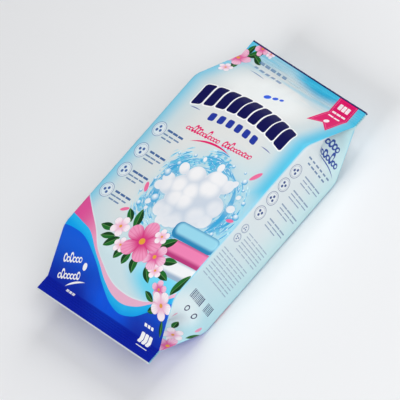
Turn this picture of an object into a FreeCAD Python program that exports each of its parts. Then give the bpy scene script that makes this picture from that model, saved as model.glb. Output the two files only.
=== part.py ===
"""A sealed film bag of washing powder, lying on its back.

One printed film tube is flattened into a crimped fin at each end and filled in between, so
the whole pack is one closed solid. Millimetres: +X across the bag, +Y from the bottom fin to
the top fin, +Z up through the front panel. The origin is on the floor under its middle.
"""

import FreeCAD, Part
import math
import os
import re

import Sketcher

doc = FreeCAD.newDocument("PowderBag")

# Each driving dimension: alias, size in mm and what it measures.
DIMENSIONS = (
    ("film_width", 180.0, "width of the flat film tube, seen in both fins"),
    ("body_width", 178.0, "width of the filled part between its side panels"),
    ("body_depth", 72.0, "depth of the filled part, and width of a side panel"),
    ("body_length", 201.0, "length from the bottom shoulders to the top shoulders"),
    ("front_crown", 5.0, "rise of the front panel between its long edges"),
    ("side_bulge", 1.5, "swell of each side panel along its middle"),
    ("top_taper", 50.0, "length from the top shoulders to the root of the top fin"),
    ("bottom_taper", 47.0, "length from the bottom shoulders to the bottom fin's root"),
    ("top_fin", 19.5, "height of the crimped fin at the top"),
    ("bottom_fin", 17.5, "height of the crimped fin at the bottom"),
    ("fin_thick", 1.0, "thickness of a fin over its crimped ribs"),
    ("shoulder_round", 20.0, "radius over which a panel turns into its taper"),
    ("rib_pitch", 2.5, "spacing of the crimped ribs"),
    ("groove_width", 1.1, "width of the groove between two ribs"),
    ("groove_depth", 0.2, "depth of that groove"),
    ("rib_margin", 2.4, "plain film between a fin's edge or root and its first groove"),
)

sheet = doc.addObject("Spreadsheet::Sheet", "Sizes")
for row, (alias, value, meaning) in enumerate(DIMENSIONS, start=1):
    sheet.set(f"A{row}", meaning)
    sheet.set(f"B{row}", str(value))
    sheet.setAlias(f"B{row}", alias)
doc.recompute()

ALIAS = re.compile(r"\b(" + "|".join(alias for alias, _, _ in DIMENSIONS) + r")\b")


def cells(text):
    """The expression in which each alias is read from the sheet."""
    return ALIAS.sub(r"Sizes.\1", text)


def size(alias):
    """The value of one cell, for the first guess of a sketch."""
    return float(sheet.get(alias))


# Places along the bag, measured from the middle of its whole length.
WHOLE = "(top_fin + top_taper + body_length + bottom_taper + bottom_fin)"
TOP_ROOT = f"({WHOLE} / 2 - top_fin)"
BOTTOM_ROOT = f"(bottom_fin - {WHOLE} / 2)"
TOP_SHOULDER = f"({TOP_ROOT} - top_taper)"
BOTTOM_SHOULDER = f"({BOTTOM_ROOT} + bottom_taper)"

# The fins lie at half the depth of the filled part.
MIDDLE = "(body_depth / 2)"
FIN_HALF = "(fin_thick / 2)"

# The shares of a taper's length at which its two free sections are cut.
UPPER_CUT = 0.42
LOWER_CUT = 0.72

body = doc.addObject("PartDesign::Body", "Bag")
body.Label = "powder_bag"


def origin_feature(role):
    """A plane or an axis of the body's origin."""
    return next(f for f in body.Origin.OriginFeatures if f.Role == role)


def new_sketch(name, role, offset):
    """A sketch on an origin plane, moved along the plane's normal by an expression."""
    sketch = body.newObject("Sketcher::SketchObject", name)
    sketch.AttachmentSupport = (origin_feature(role), [""])
    sketch.MapMode = "FlatFace"
    sketch.setExpression("AttachmentOffset.Base.z", cells(offset))
    return sketch


def dimension(sketch, name, kind, places, guess, expression):
    """A named dimension of a sketch, bound to the sheet."""
    index = sketch.addConstraint(Sketcher.Constraint(kind, *places, guess))
    sketch.renameConstraint(index, name)
    sketch.setExpression(f"Constraints.{name}", cells(expression))


def coincide(sketch, edges):
    """Closes a loop of edges, each ending where the next one starts."""
    for edge in range(edges):
        following = (edge + 1) % edges
        sketch.addConstraint(Sketcher.Constraint("Coincident", edge, 2, following, 1))


def cross_section(name, y, half_width, half_depth, fold, crown=None):
    """The bag cut across at y. All sizes are expressions.

    The long edges of the front and back panels lie half_width out, and half_depth above and
    below the middle. Each side panel is folded inwards by fold along its middle. The front
    panel rises by crown, and without one it is flat.
    """
    sketch = new_sketch(name, "XZ_Plane", f"-({y})")
    wide, high = size("body_width") / 2, size("body_depth")
    around = [(wide, high), (-wide, high), (-wide, high / 2), (-wide, 0), (wide, 0), (wide, high / 2)]
    places = [FreeCAD.Vector(x, z, 0) for x, z in around]
    edges = [Part.LineSegment(a, b) for a, b in zip(places, places[1:] + places[:1])]
    if crown:
        rise = size("front_crown")
        radius = (wide**2 + rise**2) / (2 * rise)
        half_angle = math.asin(wide / radius)
        circle = Part.Circle(
            FreeCAD.Vector(0, high + rise - radius, 0), FreeCAD.Vector(0, 0, 1), radius
        )
        edges[0] = Part.ArcOfCircle(circle, math.pi / 2 - half_angle, math.pi / 2 + half_angle)
    sketch.addGeometry(edges, False)
    coincide(sketch, len(edges))
    front, left_fold, back, right_fold = 0, 2, 3, 5
    start, end, centre, upright = 1, 2, 3, -2
    mirrored = (
        ((front, start), (front, end)),
        ((back, start), (back, end)),
        ((left_fold, start), (right_fold, start)),
    )
    for first, second in mirrored:
        sketch.addConstraint(Sketcher.Constraint("Symmetric", *first, *second, upright))
    for place, point, x, z, across, along in (
        ("front", (front, start), half_width, f"{MIDDLE} + {half_depth}", wide, high),
        ("fold", (right_fold, start), f"{half_width} - {fold}", MIDDLE, wide, high / 2),
        ("back", (back, end), half_width, f"{MIDDLE} - {half_depth}", wide, 0.0),
    ):
        dimension(sketch, f"{place}_x", "DistanceX", (-1, 1, *point), across, x)
        dimension(sketch, f"{place}_z", "DistanceY", (-1, 1, *point), along, z)
    if crown:
        sketch.addConstraint(Sketcher.Constraint("PointOnObject", front, centre, upright))
        bend = f"({half_width}^2 + {crown}^2) / (2 * {crown})"
        dimension(sketch, "front_bend", "Radius", (front,), radius, bend)
    return sketch


def taper_sections(end, shoulder, outward):
    """The sections from the straight part of the bag to the root of one fin."""
    taper = f"{end}_taper"
    drop = f"({MIDDLE} - {FIN_HALF})"
    slope = f"({drop} / {taper})"
    tangent = f"(shoulder_round * tan(atan({slope}) / 2))"
    sunk = f"(shoulder_round - sqrt(shoulder_round^2 - {tangent}^2))"
    stations = [
        ("start", f"(-{tangent})", MIDDLE, "0"),
        ("shoulder", "0", f"({MIDDLE} - {sunk})", "0"),
        ("slope", f"({tangent} * cos(atan({slope})))", None, None),
        ("upper", f"({UPPER_CUT} * {taper})", None, None),
        ("lower", f"({LOWER_CUT} * {taper})", None, None),
        ("root", taper, None, None),
    ]
    sections = []
    for name, reach, half_depth, share in stations:
        half_depth = half_depth or f"({MIDDLE} - {slope} * {reach})"
        share = share or f"({reach} / {taper})"
        half_width = f"((body_width + (film_width - body_width) * {share}) / 2)"
        filled = f"(({half_depth} - {FIN_HALF}) / {drop})"
        fold = f"({MIDDLE} * (1 - {filled}^2) - side_bulge * (1 - {share}))"
        crown = None if name == "root" else f"(front_crown * (1 - {share}))"
        y = f"({shoulder} {outward} {reach})"
        sections.append(
            cross_section(f"{end}_{name}", y, half_width, half_depth, fold, crown)
        )
    return sections


top = taper_sections("top", TOP_SHOULDER, "+")
bottom = taper_sections("bottom", BOTTOM_SHOULDER, "-")
doc.recompute()

# The straight, filled part, whose back lies flat on the floor.
filled_part = body.newObject("PartDesign::Pad", "FilledPart")
filled_part.Profile = top[0]
filled_part.setExpression(
    "Length", "top_start.AttachmentOffset.Base.z * -1 + bottom_start.AttachmentOffset.Base.z"
)
doc.recompute()

# The tapers, whose side panels fold in as the front and back close on the fins.
for name, sections in (("TopTaper", top), ("BottomTaper", bottom)):
    loft = body.newObject("PartDesign::AdditiveLoft", name)
    loft.Profile = sections[0]
    loft.Sections = sections[1:]
    doc.recompute()


def fin(end, root, reverse):
    """One flat fin of welded film, as wide as the film tube."""
    sketch = new_sketch(f"{end}_fin_section", "XZ_Plane", f"-({root})")
    wide, middle, half = size("film_width") / 2, size("body_depth") / 2, size("fin_thick") / 2
    rectangle(sketch, -wide, wide, middle - half, middle + half)
    dimension(sketch, "width", "DistanceX", (0, 1, 0, 2), 2 * wide, "film_width")
    dimension(sketch, "right_x", "DistanceX", (-1, 1, 0, 2), wide, "film_width / 2")
    dimension(sketch, "lower_z", "DistanceY", (-1, 1, 0, 2), middle - half, f"{MIDDLE} - {FIN_HALF}")
    dimension(sketch, "upper_z", "DistanceY", (-1, 1, 2, 1), middle + half, f"{MIDDLE} + {FIN_HALF}")
    pad = body.newObject("PartDesign::Pad", f"{end}_fin_pad")
    pad.Profile = sketch
    pad.setExpression("Length", cells(f"{end}_fin"))
    pad.Reversed = reverse
    doc.recompute()


def rectangle(sketch, left, right, low, high):
    """Four level and upright edges, from the lower left corner round."""
    corners = [(left, low), (right, low), (right, high), (left, high)]
    places = [FreeCAD.Vector(x, y, 0) for x, y in corners]
    edges = [Part.LineSegment(a, b) for a, b in zip(places, places[1:] + places[:1])]
    sketch.addGeometry(edges, False)
    coincide(sketch, len(edges))
    for edge, kind in enumerate(("Horizontal", "Vertical", "Horizontal", "Vertical")):
        sketch.addConstraint(Sketcher.Constraint(kind, edge))


def ribs(end, face, first_groove, surface, floor):
    """The crimped ribs of one face of a fin, left standing between grooves across it."""
    sketch = new_sketch(f"{end}_{face}_groove_section", "YZ_Plane", "0")
    here, width = size("film_width"), size("groove_width")
    middle, half = size("body_depth") / 2, size("fin_thick") / 2
    rectangle(sketch, here, here + width, middle, middle + half)
    dimension(sketch, "near_y", "DistanceX", (-1, 1, 0, 1), here, first_groove)
    dimension(sketch, "width", "DistanceX", (0, 1, 0, 2), width, "groove_width")
    dimension(sketch, "low_z", "DistanceY", (-1, 1, 0, 1), middle, surface)
    dimension(sketch, "high_z", "DistanceY", (-1, 1, 2, 1), middle + half, floor)
    groove = body.newObject("PartDesign::Pocket", f"{end}_{face}_groove")
    groove.Profile = sketch
    groove.Midplane = True
    groove.setExpression("Length", cells("film_width + body_width"))
    doc.recompute()
    pattern = body.newObject("PartDesign::LinearPattern", f"{end}_{face}_ribs")
    pattern.Originals = [groove]
    pattern.Direction = (origin_feature("Y_Axis"), [""])
    gaps = f"floor(({end}_fin - 2 * rib_margin - groove_width) / rib_pitch)"
    pattern.setExpression("Occurrences", cells(f"{gaps} + 1"))
    pattern.setExpression("Length", cells(f"{gaps} * rib_pitch"))
    body.Tip = pattern
    doc.recompute()


fin("top", TOP_ROOT, True)
fin("bottom", BOTTOM_ROOT, False)

for end, first_groove in (
    ("top", f"{TOP_ROOT} + rib_margin"),
    ("bottom", f"{BOTTOM_ROOT} - bottom_fin + rib_margin"),
):
    front_face, back_face = f"({MIDDLE} + {FIN_HALF})", f"({MIDDLE} - {FIN_HALF})"
    ribs(end, "front", first_groove, f"{front_face} - groove_depth", front_face)
    ribs(end, "back", first_groove, back_face, f"{back_face} + groove_depth")

doc.recompute()
for item in doc.Objects:
    if {"Invalid", "Error"} & set(item.State):
        raise RuntimeError(f"{item.Name} could not be made: {item.State}")
if body.Shape.isNull() or not body.Shape.isValid() or len(body.Shape.Solids) != 1:
    raise RuntimeError(f"{body.Label} is not one valid solid")

os.makedirs("parts", exist_ok=True)
body.Shape.exportStep(f"parts/{body.Label}.step")
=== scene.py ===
"""Looks of a sealed, printed film bag of washing powder that lies on its back.

The film pack is one closed mesh, bent from a flat film tube: every point of it knows where it
lies on the flat film, so the print is drawn in millimetres of film. The frame is in metres.
"""

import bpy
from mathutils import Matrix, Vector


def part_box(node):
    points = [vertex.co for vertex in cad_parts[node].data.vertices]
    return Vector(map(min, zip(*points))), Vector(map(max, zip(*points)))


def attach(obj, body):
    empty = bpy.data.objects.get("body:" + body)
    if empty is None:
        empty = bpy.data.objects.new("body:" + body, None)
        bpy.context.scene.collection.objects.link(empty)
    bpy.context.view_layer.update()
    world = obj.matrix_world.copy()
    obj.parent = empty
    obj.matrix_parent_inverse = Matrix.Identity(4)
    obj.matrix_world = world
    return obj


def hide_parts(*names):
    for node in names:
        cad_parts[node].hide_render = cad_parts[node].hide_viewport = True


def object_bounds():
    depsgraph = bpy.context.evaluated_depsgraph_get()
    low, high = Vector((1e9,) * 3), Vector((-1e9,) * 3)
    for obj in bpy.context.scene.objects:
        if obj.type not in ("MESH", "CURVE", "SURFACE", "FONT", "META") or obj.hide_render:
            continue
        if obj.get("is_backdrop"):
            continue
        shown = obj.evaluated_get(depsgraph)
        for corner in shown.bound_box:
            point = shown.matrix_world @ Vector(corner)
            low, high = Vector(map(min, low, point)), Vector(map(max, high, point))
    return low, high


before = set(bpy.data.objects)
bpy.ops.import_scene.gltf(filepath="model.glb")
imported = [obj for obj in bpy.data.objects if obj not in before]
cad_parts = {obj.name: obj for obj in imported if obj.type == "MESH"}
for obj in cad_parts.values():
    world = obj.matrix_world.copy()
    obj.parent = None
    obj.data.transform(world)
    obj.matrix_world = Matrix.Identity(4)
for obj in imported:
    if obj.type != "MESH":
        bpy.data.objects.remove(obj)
cad_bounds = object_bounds()

import inspect
import math

import bmesh
import bpy
import numpy as np
from mathutils import Matrix, Vector

bl_info = {
    "name": "Washing powder bag",
    "version": (1, 0, 0),
    "blender": (4, 5, 0),
    "location": "View3D > Sidebar > Powder bag",
    "description": "A sealed side-gusset film bag with crimped fins and a printed field",
    "category": "Add Mesh",
}

NODE = "powder_bag"
MM = 0.001
LOW, HIGH = (Vector(corner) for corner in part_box(NODE))

# Film heights, in millimetres, between the bands that the front's print is drawn in.
BANDS = (0, 72, 100, 130, 165, 200, 240, 300, 360)
# The pack's material slots: the front's bands from the bottom up, then the other surfaces.
FRONT = 0
SIDE, BACK, CUT = (len(BANDS) - 1 + place for place in range(3))

# Half thickness of a fin at its side ends, where the folded gusset makes it four films thick.
TOP_FIN_HALF = 1.3 * MM
BOTTOM_FIN_HALF = 0.9 * MM
# Half thickness of a fin between the gussets, where it is two films.
FIN_CORE_HALF = 0.4 * MM
# Film taken up by a crease where the films are welded flat, and by a gusset's open fold.
FLAT_CREASE = 0.5 * MM
OPEN_FOLD = 7.0 * MM
# How far a filled side panel stands proud, and a half-folded one bows.
SIDE_BULGE = 1.4 * MM
GUSSET_BOW = 2.2 * MM
# Waves of the slack film, in millimetres: height, and film up and across for a radian of the wave.
LONG_WAVE = (0.30, 23, 41)
SHORT_WAVE = (0.22, 11.5, 29)
# Puckers beside the fins, likewise: height, and film across for a radian of one and of its drift.
PUCKER = (0.55, 3.6, 19)
# How far a long wave and a pucker drift from a straight course, in radians.
WAVE_DRIFT = 1.4
PUCKER_DRIFT = 2.1
# How full the bag is where its puckers have come up to their height.
PUCKER_START = 0.12
# Film beside a crease that the crease holds nearly still.
HELD = 9 * MM
SHOULDER_STEPS = 7
# Film between a fin's root and the row on either side that keeps its bend sharp.
ROOT_BEND = 0.7 * MM
ROW_STEP = 3.0 * MM
TAPER_STEP = 2.0 * MM
COLUMN_STEP = 4.5 * MM
# Distances from a crease to the columns beside it, as shares of half a gusset.
BESIDE_CREASE = (0, 0.011, 0.025, 0.045, 0.07, 0.09, 0.112, 0.17, 0.25, 0.34, 0.44, 0.55, 0.66,
                 0.76, 0.83, 0.88, 0.92, 0.95, 0.975, 1)


def linear(code):
    """An sRGB hex colour as the linear colour that a socket takes."""
    parts = [int(code[place : place + 2], 16) / 255 for place in (1, 3, 5)]
    curved = [p / 12.92 if p <= 0.04045 else ((p + 0.055) / 1.055) ** 2.4 for p in parts]
    return (*curved, 1.0)


def length(name, description, default):
    """A size of the bag as a property in metres."""
    return bpy.props.FloatProperty(
        name=name, description=description, default=default, unit="LENGTH", precision=4
    )


def ink(name, description, code):
    """An ink of the print as a colour property."""
    return bpy.props.FloatVectorProperty(
        name=name, description=description, default=linear(code), size=4, subtype="COLOR"
    )


class PackSizes(bpy.types.PropertyGroup):
    """Sizes of the film tube and of the filled bag."""

    film_width: length("Film width", "Width of the flat film tube", 0.180)
    body_width: length("Body width", "Width between the long creases", 0.178)
    body_depth: length("Body depth", "Depth of the filled part", 0.072)
    top_fin: length("Top fin", "Height of the top fin", 0.0195)
    bottom_fin: length("Bottom fin", "Height of the bottom fin", 0.0175)
    top_taper: length("Top taper", "Length of the top taper", 0.050)
    bottom_taper: length("Bottom taper", "Length of the bottom taper", 0.047)
    shoulder_round: length("Shoulder radius", "Radius of the shoulders", 0.020)
    crease_round: length("Crease", "Film taken up by a long crease", 0.004)
    front_crown: length("Front crown", "Rise of the front panel", 0.0045)
    rib_pitch: length("Rib pitch", "Spacing of the crimped ribs", 0.0025)
    rib_width: length("Rib width", "Width of a crimped rib", 0.0013)
    rib_height: length("Rib height", "Height of a crimped rib", 0.00018)


class PrintInks(bpy.types.PropertyGroup):
    """Inks of the printed film."""

    white: ink("White", "White film of the middle of the front", "#E3E5E4")
    mist: ink("Mist", "Pale blue ground of the sides", "#C5DFE8")
    cyan: ink("Cyan", "Ground along the front's edges", "#4AC6EA")
    wave_cyan: ink("Wave cyan", "Bright band over the deep field", "#04A6F2")
    navy: ink("Navy", "Large blocks", "#0D0D52")
    deep_blue: ink("Deep blue", "Foot of the deep field", "#0016A0")
    bright_blue: ink("Bright blue", "Head of the deep field", "#0A5EE2")
    pink: ink("Pink", "Left of the pink band and the petals' hearts", "#E0529A")
    rose: ink("Rose", "Right of the pink band and the petals' tips", "#F4C3DC")
    ribbon: ink("Ribbon", "Corner ribbon and the small loops", "#E4126C")
    leaf: ink("Leaf", "Leaves", "#1F6B2C")
    stamen: ink("Stamen", "Middle of a blossom", "#E8A33C")
    slate: ink("Slate", "Small plain blocks", "#6C8AB0")


# Short names for kinds of node that are used often, with their settings.
KINDS = {
    "film": ("ShaderNodeUVMap", {"uv_map": "film"}),
    "vector": ("ShaderNodeCombineXYZ", {}),
    "parts": ("ShaderNodeSeparateXYZ", {}),
    "offset": ("ShaderNodeVectorMath", {"operation": "SUBTRACT"}),
    "stretch": ("ShaderNodeVectorMath", {"operation": "MULTIPLY"}),
    "dot": ("ShaderNodeVectorMath", {"operation": "DOT_PRODUCT"}),
    "range": ("ShaderNodeMapRange", {}),
    "fade": ("ShaderNodeMapRange", {"interpolation_type": "SMOOTHSTEP"}),
    "mix": ("ShaderNodeMix", {"data_type": "RGBA"}),
    "noise": ("ShaderNodeTexNoise", {"noise_dimensions": "2D"}),
    "cells": ("ShaderNodeTexVoronoi", {"voronoi_dimensions": "2D"}),
    "chance": ("ShaderNodeTexWhiteNoise", {"noise_dimensions": "1D"}),
}


def add(tree, kind, *inputs, out=0, **settings):
    """Adds a node with its settings, links or sets its inputs in order, and returns an output.

    The kind is Blender's own, a short name from KINDS, or a Math node's operation in capitals.
    An input is a socket, a value, a hex colour, or a tuple of the kind and inputs of a further node.
    """
    usual = {}
    if kind.isupper():
        kind, usual = "ShaderNodeMath", {"operation": kind}
    elif kind in KINDS:
        kind, usual = KINDS[kind]
    node = tree.nodes.new(kind)
    for name, value in (usual | settings).items():
        setattr(node, name, value)
    live = [socket for socket in node.inputs if socket.enabled]
    for socket, value in zip(live, inputs):
        if isinstance(value, tuple) and isinstance(value[0], str):
            value = add(tree, *value)
        if isinstance(value, bpy.types.NodeSocket):
            tree.links.new(value, socket)
        elif value is not None:
            is_colour = isinstance(value, str) and value.startswith("#")
            socket.default_value = linear(value) if is_colour else value
    given = [socket for socket in node.outputs if socket.enabled]
    return given[out] if given else None


def put(name, data):
    """A new object in the scene."""
    piece = bpy.data.objects.new(name, data)
    bpy.context.scene.collection.objects.link(piece)
    return piece


def new_material(name):
    """A new material, its node tree and its shader's inputs."""
    material = bpy.data.materials.new(name)
    material.use_nodes = True
    return material, material.node_tree, material.node_tree.nodes["Principled BSDF"].inputs


# The film pack: rows run along the film from the bottom edge, columns run round the tube.


def side_view(sizes):
    """The front panel's edge seen from the side, as y and half depth, bottom edge to top."""
    half = sizes.body_depth / 2
    outline = []
    for sign, edge, fin, taper, root_half in (
        (-1, LOW.y, sizes.bottom_fin, sizes.bottom_taper, BOTTOM_FIN_HALF),
        (1, HIGH.y, sizes.top_fin, sizes.top_taper, TOP_FIN_HALF),
    ):
        root = edge - sign * fin
        slope = math.atan2(half - root_half, taper)
        level_y = root - sign * (taper + sizes.shoulder_round * math.tan(slope / 2))
        points = [(edge, root_half), (root, root_half)]
        for turn in np.linspace(slope, 0, SHOULDER_STEPS):
            y = level_y + sign * sizes.shoulder_round * math.sin(turn)
            points.append((y, half - sizes.shoulder_round * (1 - math.cos(turn))))
        outline.append(points)
    return np.array(outline[0] + outline[1][::-1])


def film_rows(sizes):
    """Rows across the film: distance along it, y, half depth and how full the bag is there."""
    outline = side_view(sizes)
    run = np.concatenate([[0], np.cumsum(np.hypot(*np.diff(outline, axis=0).T))])
    marks = [run[0], run[1], run[1 + SHOULDER_STEPS], run[-2 - SHOULDER_STEPS], run[-2], run[-1]]
    steps = (ROW_STEP, TAPER_STEP, ROW_STEP, TAPER_STEP, ROW_STEP)
    spans = [
        np.linspace(a, b, math.ceil((b - a) / step) + 1)
        for a, b, step in zip(marks, marks[1:], steps)
    ]
    bends = [root + shift for root in (marks[1], marks[4]) for shift in (-ROOT_BEND, ROOT_BEND)]
    along = np.unique(np.round(np.concatenate([*spans, bends]), 6))
    y, half = (np.interp(along, run, outline[:, axis]) for axis in (0, 1))
    root_half = np.where(along < run[-1] / 2, BOTTOM_FIN_HALF, TOP_FIN_HALF)
    full = (half - root_half) / (sizes.body_depth / 2 - root_half)
    return along, y, half, np.clip(full, 0, 1)


def girth_columns(sizes):
    """Places round the tube, from the left front crease, and the columns at each crease."""
    gusset = sizes.body_depth / 2
    beside = np.array(BESIDE_CREASE) * gusset
    half = sizes.film_width / 2
    count = round(2 * (half - gusset) / COLUMN_STEP)
    middle = np.linspace(-(half - gusset), half - gusset, count + 1)[1:-1]
    panel = np.concatenate([-half + beside, middle, half - beside[::-1]])
    fold = np.concatenate([half + beside, (half + 2 * gusset - beside[::-1])[1:]])
    back = panel + 2 * half + 2 * gusset
    far_fold = fold + 2 * half + 2 * gusset
    girth = np.concatenate([panel, fold[1:], back[1:], far_fold[1:-1]])
    creases = [0, len(panel) - 1, len(panel) + len(fold) - 2, 2 * len(panel) + len(fold) - 3]
    return girth, creases


def tube_places(sizes):
    """Half the flat tube's width, half a gusset's, and the long creases' places round the tube."""
    flat, gusset = sizes.film_width / 2, sizes.body_depth / 2
    return flat, gusset, (-flat, flat, flat + 2 * gusset, 3 * flat + 2 * gusset)


def sharp_tube(sizes, girth, half, full):
    """Where film lies round the tube, as x and z from the fins' level, with sharp creases."""
    flat, gusset, (_, _, right_back, left_back) = tube_places(sizes)
    wide = flat + (sizes.body_width / 2 - flat) * full
    on_front = girth <= flat
    on_right = ~on_front & (girth < right_back)
    on_back = (girth >= right_back) & (girth <= left_back)
    across = np.where(on_front, girth / flat, (2 * flat + 2 * gusset - girth) / flat)
    sink = np.maximum(half - gusset * full - FIN_CORE_HALF * (1 - full), 0)
    level = half - sink * np.clip(wide * (1 - np.abs(across)) / gusset, 0, 1)
    crown = sizes.front_crown * full * (1 - across**2)
    right_share = (flat + gusset - girth) / gusset
    left_share = (girth - 3 * flat - 3 * gusset) / gusset
    share = np.where(on_right, right_share, left_share)
    open_share = np.minimum(np.abs(share), 1)
    fold_x = wide - gusset * (1 - full**2) * (1 - open_share)
    fold_x += SIDE_BULGE * full * (1 - open_share**2)
    # Each share times what it lacks peaks at a quarter, so 16 brings the bow up to its height.
    fold_x += GUSSET_BOW * 16 * full * (1 - full) * open_share * (1 - open_share)
    x = np.where(on_front | on_back, wide * across, np.where(on_right, fold_x, -fold_x))
    z = np.where(on_front, level + crown, np.where(on_back, -level, half * share))
    return x, z


def rounded_tube(sizes, girth, half, full):
    """The tube with its four long creases and both gusset folds rounded."""
    flat, gusset, creases = tube_places(sizes)
    around = 4 * flat + 4 * gusset
    x, z = sharp_tube(sizes, girth, half, full)
    crease = FLAT_CREASE + (sizes.crease_round - FLAT_CREASE) * full
    fold = FLAT_CREASE + (OPEN_FOLD - FLAT_CREASE) * full
    corners = [(place, crease) for place in creases]
    corners += [(place, fold) for place in (flat + gusset, 3 * flat + 3 * gusset)]
    for place, reach in corners:
        away = (girth - place + around / 2) % around - around / 2
        share = np.clip((away / reach + 1) / 2, 0, 1)
        bend_x, bend_z = 0, 0
        weights = ((1 - share) ** 2, 2 * share * (1 - share), share**2)
        for shift, weight in zip((-1, 0, 1), weights):
            there = place + shift * reach
            there = np.where(there < -flat, there + around, there)
            end_x, end_z = sharp_tube(sizes, there, half, full)
            bend_x, bend_z = bend_x + weight * end_x, bend_z + weight * end_z
        near = np.abs(away) < reach
        x, z = np.where(near, bend_x, x), np.where(near, bend_z, z)
    return x, z


def slack(sizes, girth, along, full):
    """How far the film stands off the filled form: long soft waves, and puckers at the fins."""
    flat, gusset, creases = tube_places(sizes)
    across, up = girth / MM, along / MM
    height, turn_up, turn_across = LONG_WAVE
    waves = height * np.sin(up / turn_up + WAVE_DRIFT * np.sin(across / turn_across))
    height, turn_up, turn_across = SHORT_WAVE
    waves = waves + height * np.sin(up / turn_up - across / turn_across)
    height, turn_across, drift_across = PUCKER
    phase = across / turn_across + PUCKER_DRIFT * np.sin(across / drift_across)
    puckers = height * np.sin(phase) * (1 - full) ** 3
    puckers = puckers * np.clip(full / PUCKER_START, 0, 1)
    ends = (*creases, 3 * flat + 4 * gusset)
    apart = np.min([np.abs(girth - place) for place in ends], axis=0)
    on_back = (girth >= creases[2]) & (girth <= creases[3])
    held = np.clip(apart / HELD, 0, 1) * np.where(on_back, 0, 1)
    return (waves * full + puckers) * held * MM


def film_points(sizes):
    """The film tube's points by row and column, with the rows' and columns' film places."""
    along, y, half, full = film_rows(sizes)
    girth, creases = girth_columns(sizes)
    grid = (len(along), len(girth))
    row_y, row_half, row_full, row_along = (
        np.broadcast_to(values[:, None], grid) for values in (y, half, full, along)
    )
    places = np.broadcast_to(girth, grid)
    x, z = rounded_tube(sizes, places, row_half, row_full)
    points = np.stack([x, row_y, z + sizes.body_depth / 2], -1)
    round_tube = np.roll(points, -1, 1) - np.roll(points, 1, 1)
    outward = np.cross(round_tube, np.gradient(points, axis=0))
    outward /= np.maximum(np.linalg.norm(outward, axis=-1, keepdims=True), 1e-12)
    points = points + outward * slack(sizes, places, row_along, row_full)[..., None]
    points[..., 2] = np.maximum(points[..., 2], 0)
    return points, along, girth, creases


def end_cap(creases, columns):
    """Faces that close one cut end, film against film, as lists of columns."""
    left, right, right_back, left_back = creases
    tucked = len(BESIDE_CREASE) - 1
    strips = [
        [(crease + step * k, (crease - step * k) % columns) for k in range(tucked + 1)]
        for crease, step in ((right, -1), (right_back, 1), (left_back, -1), (left, 1))
    ]
    inner = range(right - tucked, left + tucked - 1, -1)
    strips.append([(f, right_back + tucked + step) for step, f in enumerate(inner)])
    loops = []
    for strip in strips:
        for (a, b), (c, d) in zip(strip, strip[1:]):
            loops.append(list(dict.fromkeys((a, c, d, b))))
    loops.append([right - tucked, right + tucked, right_back + tucked])
    loops.append([left + tucked, left_back - tucked, (left - tucked) % columns])
    return loops


def film_pack(sizes, materials):
    """The closed film tube as an object, its UV map in millimetres of the flat film."""
    points, along, girth, creases = film_points(sizes)
    rows, columns = points.shape[:2]
    left, right, right_back, left_back = creases
    flat, gusset, _ = tube_places(sizes)
    edges = np.append(girth, girth[0] + 4 * flat + 4 * gusset)
    panels = (
        (FRONT, left, right, 0),
        (SIDE, right, right_back, flat + gusset),
        (BACK, right_back, left_back, 2 * flat + 2 * gusset),
        (SIDE, left_back, columns, 3 * flat + 3 * gusset),
    )
    faces, places, slots = [], [], []
    for slot, first, last, middle in panels:
        for row in range(rows - 1):
            middle_up = (along[row] + along[row + 1]) / 2 / MM
            band = sum(int(middle_up > line) for line in BANDS[1:]) if slot == FRONT else 0
            for col in range(first, last):
                corners = ((row, col), (row, col + 1), (row + 1, col + 1), (row + 1, col))
                faces.append([r * columns + c % columns for r, c in corners])
                places += [((edges[c] - middle) / MM, along[r] / MM) for r, c in corners]
                slots.append(slot + band)
    for row in (0, rows - 1):
        for loop in end_cap(creases, columns):
            faces.append([row * columns + c for c in loop])
            places += [(girth[c] / MM, along[row] / MM) for c in loop]
            slots.append(CUT)
    mesh = bpy.data.meshes.new("film_pack")
    mesh.from_pydata(points.reshape(-1, 3).tolist(), [], faces)
    mesh.uv_layers.new(name="film").data.foreach_set("uv", np.array(places).ravel())
    mesh.polygons.foreach_set("material_index", slots)
    for material in materials:
        mesh.materials.append(material)
    shell = bmesh.new()
    shell.from_mesh(mesh)
    bmesh.ops.recalc_face_normals(shell, faces=shell.faces)
    shell.to_mesh(mesh)
    shell.free()
    mesh.polygons.foreach_set("use_smooth", [slot != CUT for slot in slots])
    mesh.update()
    return put("film_pack", mesh)


# The print: every motif is a distance or a colour, in millimetres of flat film.

RIGHT, UP = (1, 0, 0), (0, 1, 0)
# Width over which one ink gives way to the next, about the spread of a printed dot.
INK_EDGE = 0.3
WHITE = "#FFFFFF"
# A distance at which nothing shows, given to places past a stroke's ends.
FAR = 50.0
# Keeps the random widths of one row of blocks apart from the next row's.
ROW_SEED = 7.3
# A loop's lean, the lowest one's height as a share of the tallest, and its radius in steps.
LOOP_LEAN = 0.35
LOW_LOOP = 0.42
LOOP_RADIUS = 0.46
# A blossom's petals and the veins in each, how round their tips are, and the stamens' reach.
PETALS = 5
VEINS = 6
LOBE_ROUND = 0.55
EYE = 0.15
# Half the width of a leaf's pale midrib.
MIDRIB = 0.25
# A badge's dots: their way from its middle and their radius, as shares of the ring's radius.
DOT_ORBIT = 0.34
DOT_RADIUS = 0.2
# Apart from these, a motif's inputs are plain numbers.
VECTORS = ("film", "centre", "pitch", "size")
COLOURS = ("under", "tip", "heart", "stamen", "green", "tone")


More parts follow.
